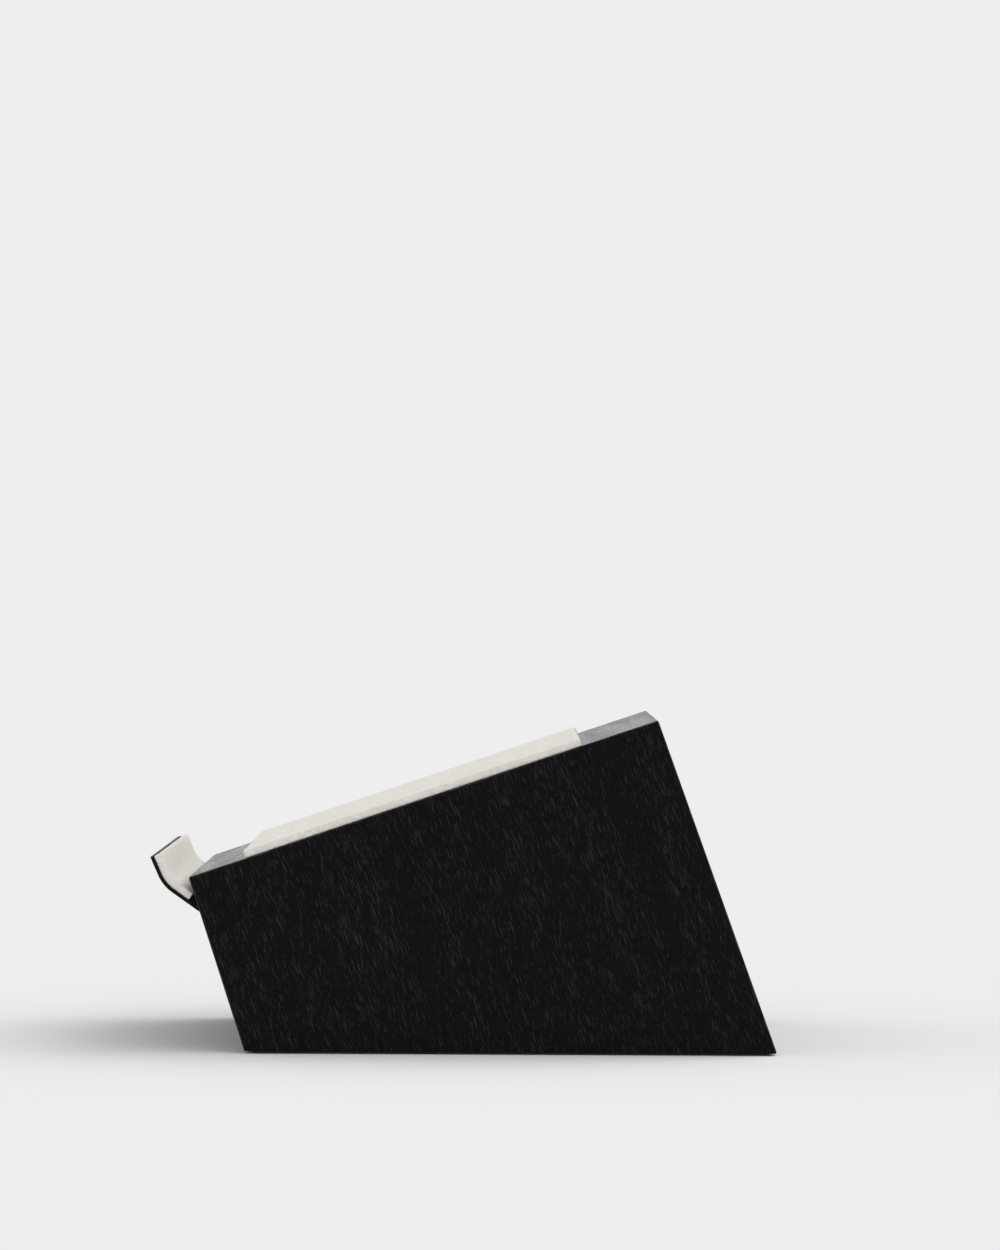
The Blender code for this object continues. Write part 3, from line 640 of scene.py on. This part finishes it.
def wall_planes(wall):
    """Every cut of one wall."""
    point, normal = outer[wall]
    planes = [(point, normal), (point - normal * PANEL, -normal)]
    for neighbour in WALLS:
        if neighbour not in (wall, OPPOSITE.get(wall)):
            planes.append(mitre(wall, neighbour))
            planes += eased_edge(wall, neighbour)
    if wall != "top":
        planes.append(outer["bottom"])
        planes += eased_edge(wall, "bottom")
    return planes


print("a side wall takes", len(wall_planes("right")), "cuts")


# %% Divide and roughen the eased edges
DIVISION = 2.5 * MM
LONG_EDGE = 20 * MM
UNEVEN = 0.05 * MM
UNEVEN_SCALE = 220.0


def is_eased(face, wall):
    """True for the narrow faces of a rounded edge: they face neither out nor into a mitre."""
    facing = face.normal.dot(outer[wall][1])
    centre = face.calc_center_median()
    depth = (outer[wall][0] - centre).dot(outer[wall][1])
    return depth < ARRIS and 0.05 < facing < 0.9999


def roughen_edges(shape, wall):
    """Divide the rounded edges along their length and make them slightly uneven."""
    long_edges = [
        edge
        for edge in shape.edges
        if edge.calc_length() > LONG_EDGE and any(is_eased(face, wall) for face in edge.link_faces)
    ]
    longest = max(edge.calc_length() for edge in long_edges)
    cuts = round(longest / DIVISION / 4) * 4
    bmesh.ops.subdivide_edges(shape, edges=long_edges, cuts=cuts, use_grid_fill=True)
    shape.normal_update()
    point, normal = outer[wall]
    for vertex in shape.verts:
        depth = (point - vertex.co).dot(normal)
        if 0.02 * ARRIS < depth < 0.6 * ARRIS:
            sanded = 0.5 + 0.5 * noise.noise(vertex.co * UNEVEN_SCALE)
            vertex.co -= vertex.normal * UNEVEN * sanded * (depth / ARRIS)


# %% [markdown]
# The figure of the wood has to follow the grain of its own board, and each board stands at another
# angle. The pieces could be turned to lie along their grain, but then they would no longer share
# the stand's frame. So they stay in place, and each of their points notes where it would be if the
# board lay flat. The worn edges and their painted highlight are noted in the same way, as a value
# at every point.

# %% What a panel knows about itself
GRAIN_LEAN = math.radians(18.9)
SHARP_ANGLE = math.radians(40)
grain_along = {
    "right": Vector((0.0, -math.sin(GRAIN_LEAN), math.cos(GRAIN_LEAN))),
    "left": Vector((0.0, -math.sin(GRAIN_LEAN), math.cos(GRAIN_LEAN))),
    "front": front_up,
    "back": quarter_turn(outer["back"][1]) * -1.0,
    "top": RIGHTWARDS,
}


def flat_frame(wall, seat):
    """The frame in which a panel lies flat: Y along the grain and Z out of its face."""
    z = outer[wall][1]
    y = (grain_along[wall] - z * grain_along[wall].dot(z)).normalized()
    x = y.cross(z)
    columns = (x, y, z)
    rows = [[axis[row] for axis in columns] + [seat[row]] for row in range(3)]
    return Matrix(rows + [[0.0, 0.0, 0.0, 1.0]])


def paint_arris(mesh, wall):
    """Write 1 in the middle of the eased edges and 0 on the flats and along the untouched foot: the
    mask of the edge wear and its painted highlight.
    """
    values = mesh.attributes.new("arris", "FLOAT", "POINT")
    point, normal = outer[wall]
    for vertex in mesh.vertices:
        depth = (point - vertex.co).dot(normal)
        # the upper eased edges carry the wear and its painted highlight; the foot stays dark
        on_marked_edge = depth < 0.7 * ARRIS and vertex.co.z > box_bottom_z + 2 * ARRIS
        values.data[vertex.index].value = min(1.0, depth / (0.25 * ARRIS)) if on_marked_edge else 0.0


def smooth_rounds(obj):
    """Shade the rounds smooth while the flats stay flat."""
    obj.data.shade_smooth()
    obj.data.set_sharp_from_angle(angle=SHARP_ANGLE)
    keep_flat = obj.modifiers.new("keep the flats flat", "WEIGHTED_NORMAL")
    keep_flat.keep_sharp = True
    keep_flat.weight = 100


def note_board_place(mesh, frame_matrix):
    """Write where each point would be if the board lay flat, for the wood figure."""
    places = mesh.attributes.new("board", "FLOAT_VECTOR", "POINT")
    flatten = frame_matrix.inverted()
    for vertex in mesh.vertices:
        places.data[vertex.index].vector = flatten @ vertex.co


def hang(name, mesh, material, slot, *replaced):
    """Make a piece from a mesh that is already in place, and let it ride the stand."""
    mesh.materials.append(material)
    obj = bpy.data.objects.new(name, mesh)
    bpy.context.scene.collection.objects.link(obj)
    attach(obj, "root")
    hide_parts(*replaced)
    return obj


# %% [markdown]
# The lip goes into the front panel through a slot. It is cut with a Boolean, the one place here
# where a plane won't do, because a slot makes the panel hollow.

# %% The lip's line, and the slot for it
PLATE = 1.6 * MM
LIP_ROOT = 17.2 * MM
LIP_FLARE = math.radians(36.8)
LIP_REACH = 21.3 * MM
LIP_LEAN = math.radians(5.8)
LIP_RISE = 14.5 * MM
LIP_BEND_R = 19.0 * MM
SLOT_HALF_WIDTH = 96.7 * MM
SLOT_HEIGHT = 2.2 * MM

leg_dir = (front_up * math.cos(LIP_FLARE) + front_out * math.sin(LIP_FLARE)).normalized()
rise_dir = (front_up * math.cos(LIP_LEAN) + front_out * math.sin(LIP_LEAN)).normalized()
leg_in = quarter_turn(leg_dir)
rise_in = quarter_turn(rise_dir)
lip_root = front_corner - front_up * LIP_ROOT
lip_knee = lip_root + leg_dir * LIP_REACH
lip_turn = LIP_FLARE - LIP_LEAN


def slot_cutter():
    """A block that fills the slot and stands out of the panel on both sides."""
    through = PANEL / math.sin(LIP_FLARE)
    centre = lip_root + leg_in * (PLATE / 2) - leg_dir * (through / 2)
    x, y, z = RIGHTWARDS * SLOT_HALF_WIDTH, leg_in * (SLOT_HEIGHT / 2), leg_dir * (1.5 * through)
    shape = bmesh.new()
    bmesh.ops.create_cube(shape, size=2.0)
    for vertex in shape.verts:
        vertex.co = centre + x * vertex.co.x + y * vertex.co.y + z * vertex.co.z
    bmesh.ops.recalc_face_normals(shape, faces=shape.faces)
    mesh = bpy.data.meshes.new("slot_cutter")
    shape.to_mesh(mesh)
    shape.free()
    return bpy.data.objects.new("slot_cutter", mesh)


def cut_slot(mesh):
    """The front panel's mesh with the slot cut out."""
    body = bpy.data.objects.new("front_body", mesh)
    cutter = slot_cutter()
    for obj in (body, cutter):
        bpy.context.scene.collection.objects.link(obj)
    cut = body.modifiers.new("slot", "BOOLEAN")
    cut.solver = "EXACT"
    cut.object = cutter
    bpy.context.view_layer.update()
    finished = body.evaluated_get(bpy.context.evaluated_depsgraph_get())
    result = bpy.data.meshes.new_from_object(finished)
    for obj in (body, cutter):
        bpy.data.objects.remove(obj)
    return result


# %% Build the five walls
for wall, node in WALLS.items():
    shape = cut_solid(wall_planes(wall))
    roughen_edges(shape, wall)
    mesh = bpy.data.meshes.new(f"oak_{wall}")
    shape.to_mesh(mesh)
    shape.free()
    paint_arris(mesh, wall)
    if wall == "front":
        mesh = cut_slot(mesh)
    seat = meeting_point(outer[wall], outer["bottom"]) if wall != "top" else front_corner
    note_board_place(mesh, flat_frame(wall, seat))
    panel = hang(f"oak_{wall}", mesh, black_oak, "black_oak", node)
    smooth_rounds(panel)
    print(panel.name, len(mesh.vertices), "vertices")


# %% [markdown]
# ## Felt
#
# Both felts are sheets of the same pressed wool, 3.5 mm thick. One lies flat on the top, one
# follows the bent lip, so one builder makes both: it is given a line in the side view and lays the
# sheet along it. A thin block would do for the shape, but felt gives itself away at its cut edge,
# which is soft and ragged. The sheet is therefore a fine lattice with rounded rims, pushed about by
# noise, more on the cut edges than on the faces.

# %% A lattice block with rounded rims
FELT = 3.5 * MM
FELT_RIM = 0.35 * MM
THROUGH_ROWS = 6


def spaced(length, cell):
    """Stations along a length: close together at both rims and a cell apart between."""
    rim = [0.0, 0.25, 0.55, 1.0]
    inner = length - 2 * FELT_RIM
    count = max(2, round(inner / cell))
    stations = [share * FELT_RIM for share in rim[:-1]]
    stations += [FELT_RIM + inner * step / count for step in range(count + 1)]
    stations += [length - share * FELT_RIM for share in reversed(rim[:-1])]
    return stations


def rounded(spot, size):
    """Pull a point of a block's skin in, so that the block's rims become round."""
    inner = Vector([min(max(value, FELT_RIM), full - FELT_RIM) for value, full in zip(spot, size)])
    out = spot - inner
    return inner + out.normalized() * FELT_RIM if out.length > 0 else spot


def block_skin(size, cells):
    """Vertices and faces of the skin of a block that is divided into cells."""
    stations = [spaced(size[0], cells[0]), spaced(size[1], cells[1])]
    stations.append([size[2] * step / (THROUGH_ROWS - 1) for step in range(THROUGH_ROWS)])
    counts = [len(row) for row in stations]
    index, points, faces = {}, [], []

    def vertex(*at):
        if at not in index:
            index[at] = len(points)
            spot = Vector([row[step] for row, step in zip(stations, at)])
            points.append(rounded(spot, size))
        return index[at]

    for axis in range(3):
        a, b = [other for other in range(3) if other != axis]
        for end in (0, counts[axis] - 1):
            for i in range(counts[a] - 1):
                for j in range(counts[b] - 1):
                    corners = []
                    for di, dj in ((0, 0), (1, 0), (1, 1), (0, 1)):
                        at = [0, 0, 0]
                        at[axis], at[a], at[b] = end, i + di, j + dj
                        corners.append(vertex(*at))
                    faces.append(corners if (end == 0) == (axis == 1) else corners[::-1])
    return points, faces


# %% Push the lattice about and lay it along a line
FACE_WAVE = 0.10 * MM
FACE_NAP = 0.07 * MM
EDGE_RAG = 0.24 * MM
EDGE_ZONE = 2.5 * FELT_RIM
WAVE_SCALE = 90.0
NAP_SCALE = 900.0
RAG_SCALE = 420.0
FRAY_SCALE = 1500.0


def felt_push(spot, size, seed):
    """How far a point of the sheet moves from its ideal place: (across, along, up)."""
    away = [min(value, full - value) for value, full in zip(spot, size)]
    at_edge = max(0.0, 1.0 - min(away[0], away[1]) / EDGE_ZONE)
    lifted = spot.z / size[2]
    place = Vector((spot.x + seed, spot.y, spot.z))
    wave = noise.noise(place * WAVE_SCALE) * FACE_WAVE + noise.noise(place * NAP_SCALE) * FACE_NAP
    up = wave * max(0.0, lifted * 2.0 - 1.0) - FACE_NAP * at_edge * lifted
    rag = noise.noise(place * RAG_SCALE) * 0.65 + noise.noise(place * FRAY_SCALE) * 0.35
    inward_x = (1.0 if spot.x < size[0] / 2 else -1.0) * (away[0] < EDGE_ZONE)
    inward_y = (1.0 if spot.y < size[1] / 2 else -1.0) * (away[1] < EDGE_ZONE)
    pull = EDGE_RAG * at_edge * (0.5 + rag)
    return Vector((inward_x * pull, inward_y * pull, up))


def felt_sheet(name, size, cells, lay, seed):
    """A felt sheet. lay(along, height) gives the point of the side view that a spot comes to."""
    points, faces = block_skin(size, cells)
    placed = []
    for spot in points:
        spot = spot + felt_push(spot, size, seed)
        placed.append(lay(spot.y, spot.z) + RIGHTWARDS * (spot.x - size[0] / 2))
    mesh = bpy.data.meshes.new(name)
    mesh.from_pydata(placed, [], faces)
    mesh.shade_smooth()
    return mesh


# %% Where each felt lies
RESTING = 0.04 * MM
PAD_START = 27.7 * MM
PAD_LENGTH = 164.6 * MM
ROOT_GAP = 0.3 * MM
RIM_GAP = 0.5 * MM

pad_low, pad_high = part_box("top_felt")
pad_front = front_corner + top_back * PAD_START
pad_size = (pad_high.x - pad_low.x, PAD_LENGTH, FELT)


def lay_on_top(along, height):
    """The sloping top."""
    return pad_front + top_back * along + top_out * (height + RESTING)


near = PLATE + RESTING
mid_radius = LIP_BEND_R - near - FELT / 2
tangent = LIP_BEND_R * math.tan(lip_turn / 2)
bend_centre = lip_knee - leg_dir * tangent + leg_in * LIP_BEND_R
lining_start = (near + FELT + ROOT_GAP) / math.tan(LIP_FLARE) + ROOT_GAP
leg_run = LIP_REACH - tangent - lining_start
arc_run = mid_radius * lip_turn
rise_run = LIP_RISE - RIM_GAP - tangent
lining_low, lining_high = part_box("lip_felt")
lining_size = (lining_high.x - lining_low.x, leg_run + arc_run + rise_run, FELT)


def turned(direction, angle):
    """A direction of the side view, turned by an angle from +Y towards +Z."""
    cos, sin = math.cos(angle), math.sin(angle)
    y = direction.y * cos - direction.z * sin
    z = direction.y * sin + direction.z * cos
    return Vector((0.0, y, z))


def lay_on_lip(along, height):
    """The inner face of the lip: up the leg, round the bend, up the rise."""
    lift = near + height
    if along < leg_run:
        return lip_root + leg_dir * (lining_start + along) + leg_in * lift
    if along < leg_run + arc_run:
        out = -turned(leg_in, -(along - leg_run) / mid_radius)
        return bend_centre + out * (LIP_BEND_R - lift)
    rest = along - leg_run - arc_run
    return lip_knee + rise_dir * (tangent + rest) + rise_in * lift


print("pad:", [round(value / MM, 1) for value in pad_size], "mm")
print("lining:", [round(value / MM, 1) for value in lining_size], "mm")

# %% Build the two felts
PAD_CELLS = (1.05 * MM, 1.05 * MM)
LINING_CELLS = (0.8 * MM, 0.8 * MM)

pad_mesh = felt_sheet("felt_pad", pad_size, PAD_CELLS, lay_on_top, 0.0)
pad = hang("felt_pad", pad_mesh, cream_felt, "cream_felt", "top_felt")
lining_mesh = felt_sheet("felt_lining", lining_size, LINING_CELLS, lay_on_lip, 3.0)
lining = hang("felt_lining", lining_mesh, cream_felt, "cream_felt", "lip_felt")
print("pad", len(pad_mesh.polygons), "faces, lining", len(lining_mesh.polygons), "faces")

# %% [markdown]
# ## Loose hairs
#
# The last thing that makes felt look like felt is its fuzz. Thousands of hair ends stand off the
# cut edges, and fewer off the face. Particle hair would be the usual tool, but it doesn't leave
# Blender as a mesh, so each hair is a tapered three-sided tube of three bent links.

# %% Grow the fuzz
HAIR_R = 0.022 * MM
HAIR_LINKS = 3
HAIR_TAPER = 0.25
HAIR_BEND = 0.75
HAIR_LEAN = 0.9
SHORTEST_HAIR = 0.35
EDGE_HAIR = 1.1 * MM
FACE_HAIR = 0.8 * MM


def hair(root, outwards, length, dice, points, faces):
    """Add one crooked, tapering hair to a list of points and faces."""
    first = len(points)
    spot, heading = root.copy(), outwards.normalized()
    sideways = heading.orthogonal().normalized()
    for link in range(HAIR_LINKS):
        radius = HAIR_R * (1.0 - HAIR_TAPER * link)
        other = heading.cross(sideways)
        for corner in range(3):
            angle = 2 * math.pi * corner / 3
            points.append(spot + (sideways * math.cos(angle) + other * math.sin(angle)) * radius)
        spot = spot + heading * (length / HAIR_LINKS)
        bend = Vector([dice.uniform(-HAIR_BEND, HAIR_BEND) for _ in range(3)])
        heading = (heading + bend).normalized()
        sideways = (sideways - heading * sideways.dot(heading)).normalized()
    points.append(spot)
    for link in range(HAIR_LINKS - 1):
        for corner in range(3):
            a, b = first + 3 * link + corner, first + 3 * link + (corner + 1) % 3
            faces.append((a, b, b + 3, a + 3))
    last = first + 3 * (HAIR_LINKS - 1)
    faces.append((first + 2, first + 1, first))
    for corner in range(3):
        faces.append((last + corner, last + (corner + 1) % 3, last + 3))


def fuzz(name, mesh, on_edge, on_face, is_edge, seed):
    """Hairs from random faces of a felt: on_edge of them from its cut edges, on_face elsewhere."""
    dice = random.Random(seed)
    edges = [p.index for p in mesh.polygons if is_edge(p)]
    others = [p.index for p in mesh.polygons if not is_edge(p)]
    points, faces = [], []
    for choices, count, reach in ((edges, on_edge, EDGE_HAIR), (others, on_face, FACE_HAIR)):
        for _ in range(count):
            polygon = mesh.polygons[dice.choice(choices)]
            lean = Vector([dice.uniform(-HAIR_LEAN, HAIR_LEAN) for _ in range(3)])
            length = reach * dice.uniform(SHORTEST_HAIR, 1.0)
            hair(polygon.center, polygon.normal + lean, length, dice, points, faces)
    hairs = bpy.data.meshes.new(name)
    hairs.from_pydata(points, [], faces)
    return hang(name, hairs, cream_felt, "cream_felt")


def on_pad_edge(polygon):
    """True for the faces of the pad's cut edges."""
    return abs(polygon.normal.dot(top_out)) < 0.7


def on_lining_edge(polygon):
    """True for the faces of the lining's two ends."""
    return abs(polygon.normal.x) > 0.6


pad_fuzz = fuzz("felt_pad_fuzz", pad_mesh, 5200, 3600, on_pad_edge, 11)
lining_fuzz = fuzz("felt_lining_fuzz", lining_mesh, 2200, 1600, on_lining_edge, 12)
print("fuzz:", len(pad_fuzz.data.polygons) + len(lining_fuzz.data.polygons), "faces")

# %% [markdown] The felt sheets

print("felt sheets built")

# %% [markdown]
# ## Base sheet
#
# The sheet under the box is glued on, so it is as thick as the space it fills. Its edge was cut
# with a knife along a ruler: straight, but with a trace of waviness. Raising the sheet from its
# outline makes the faces of the edge in no fixed order, so all faces are sorted by their place at
# the end. That way every run gives the same mesh.

# %% Build the base sheet
KNIFE_WAVE = 0.12 * MM
KNIFE_SCALE = 140.0
APART = Vector((5.0, 0.0, 0.0))
SORTING_LINE = Vector((1.0, 7.3, 61.0))

sheet_low, sheet_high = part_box("base_sheet")
SHEET = box_bottom_z - RESTING
sheet_length = sheet_high.y - sheet_low.y
sheet_width = sheet_high.x - sheet_low.x

shape = bmesh.new()
bmesh.ops.create_grid(shape, x_segments=96, y_segments=94, size=0.5)
bmesh.ops.scale(shape, vec=(sheet_width, sheet_length, 1.0), verts=shape.verts)
rim = [vertex for vertex in shape.verts if vertex.is_boundary]
for vertex in rim:
    vertex.co.x += KNIFE_WAVE * noise.noise(vertex.co * KNIFE_SCALE)
    vertex.co.y += KNIFE_WAVE * noise.noise(vertex.co * KNIFE_SCALE + APART)
raised = bmesh.ops.extrude_face_region(shape, geom=shape.faces[:])
lifted = [item for item in raised["geom"] if isinstance(item, bmesh.types.BMVert)]
bmesh.ops.translate(shape, verts=lifted, vec=(0.0, 0.0, SHEET))
bmesh.ops.translate(shape, verts=shape.verts, vec=(0.0, (sheet_low.y + sheet_high.y) / 2, 0.0))
bmesh.ops.recalc_face_normals(shape, faces=shape.faces)
shape.faces.sort(key=lambda face: face.calc_center_median().dot(SORTING_LINE))
sheet_mesh = bpy.data.meshes.new("brown_sheet")
shape.to_mesh(sheet_mesh)
shape.free()
base = hang("brown_sheet", sheet_mesh, brown_base, "brown_base", "base_sheet")
smooth_rounds(base)
print("base sheet:", round(sheet_width / MM, 1), "x", round(sheet_length / MM, 1), "mm")

# %% [markdown]
# ## The lip and the hidden pieces
#
# The steel lip, the blocks, the bottom and the screws already have their true shape in the frame,
# so they stay and only get a finish. The lip also gets its edges eased by a modifier, because a
# laser-cut plate is deburred before it is coated.

# %% Finish the measured pieces
DEBURR = 0.25 * MM

finishes = {
    "plain_beech": beech,
    "plain_ply": birch_ply,
    "black_steel": black_steel,
    "zinc_screw": zinc,
}
slots = {entry["node"]: entry["material_slot"] for entry in frame["record"]["subparts"]}
dressed = 0
for name, node in nodes.items():
    finish = finishes.get(slots[name])
    if finish:
        for slot in node.material_slots:
            slot.material = finish
        dressed += 1
print(dressed, "measured pieces dressed")

plate = nodes["lip_plate"]
weld = plate.modifiers.new("join the split corners", "WELD")
weld.merge_threshold = 1e-6
ease = plate.modifiers.new("deburred edges", "BEVEL")
ease.width = DEBURR
ease.segments = 3
ease.limit_method = "ANGLE"
ease.angle_limit = SHARP_ANGLE
keep_flat = plate.modifiers.new("keep the flats flat", "WEIGHTED_NORMAL")
keep_flat.keep_sharp = True

# %% [markdown]
# ## Studio
#
# The stand is shown on a plain pale floor that runs on without an end, so no horizon shows behind
# it. The usual way is a paper cove, but a cove is only even from the front. Here the air of the
# studio has one tone, and the floor is lit until it has that tone too, so the two melt together
# from every side. The floor's light comes from two broad soft suns: a strong one high on the right
# and behind, which throws a soft shadow to the left and forwards, and a weak one in front.

# %% Floor
FLOOR_RADIUS = 60.0
FLOOR_TONE = 0.70
AIR_TONE = 0.855

floor_mesh = bpy.data.meshes.new("floor")
shape = bmesh.new()
bmesh.ops.create_circle(shape, cap_ends=True, segments=96, radius=FLOOR_RADIUS)
shape.to_mesh(floor_mesh)
shape.free()
floor = bpy.data.objects.new("floor", floor_mesh)
bpy.context.scene.collection.objects.link(floor)
paper, tree, shader = open_material("pale_paper", 1.0, specular=0.0)
shader.inputs["Base Color"].default_value = (FLOOR_TONE, FLOOR_TONE, FLOOR_TONE, 1.0)
floor_mesh.materials.append(paper)
print("floor:", 2 * FLOOR_RADIUS, "m across")


# %% Lights
def soft_sun(name, direction, spread, strength):
    """A broad sun that shines from a direction. spread is how wide it looks, in degrees."""
    data = bpy.data.lights.new(name, "SUN")
    data.angle = math.radians(spread)
    data.energy = strength
    lamp = bpy.data.objects.new(name, data)
    bpy.context.scene.collection.objects.link(lamp)
    lamp.rotation_euler = (-Vector(direction)).to_track_quat("-Z", "Y").to_euler()
    return lamp


soft_sun("key_sun", (-0.45, 0.85, 0.95), 60.0, 1.00)
soft_sun("front_sun", (0.95, 0.35, 0.80), 60.0, 0.72)
world = bpy.data.worlds.new("studio_air")
world.use_nodes = True
air = world.node_tree.nodes["Background"]
air.inputs["Color"].default_value = (AIR_TONE, AIR_TONE, AIR_TONE, 1.0)
air.inputs["Strength"].default_value = 1.0
bpy.context.scene.world = world
bpy.context.scene.view_settings.view_transform = "Standard"
print("two soft suns and the studio's air")
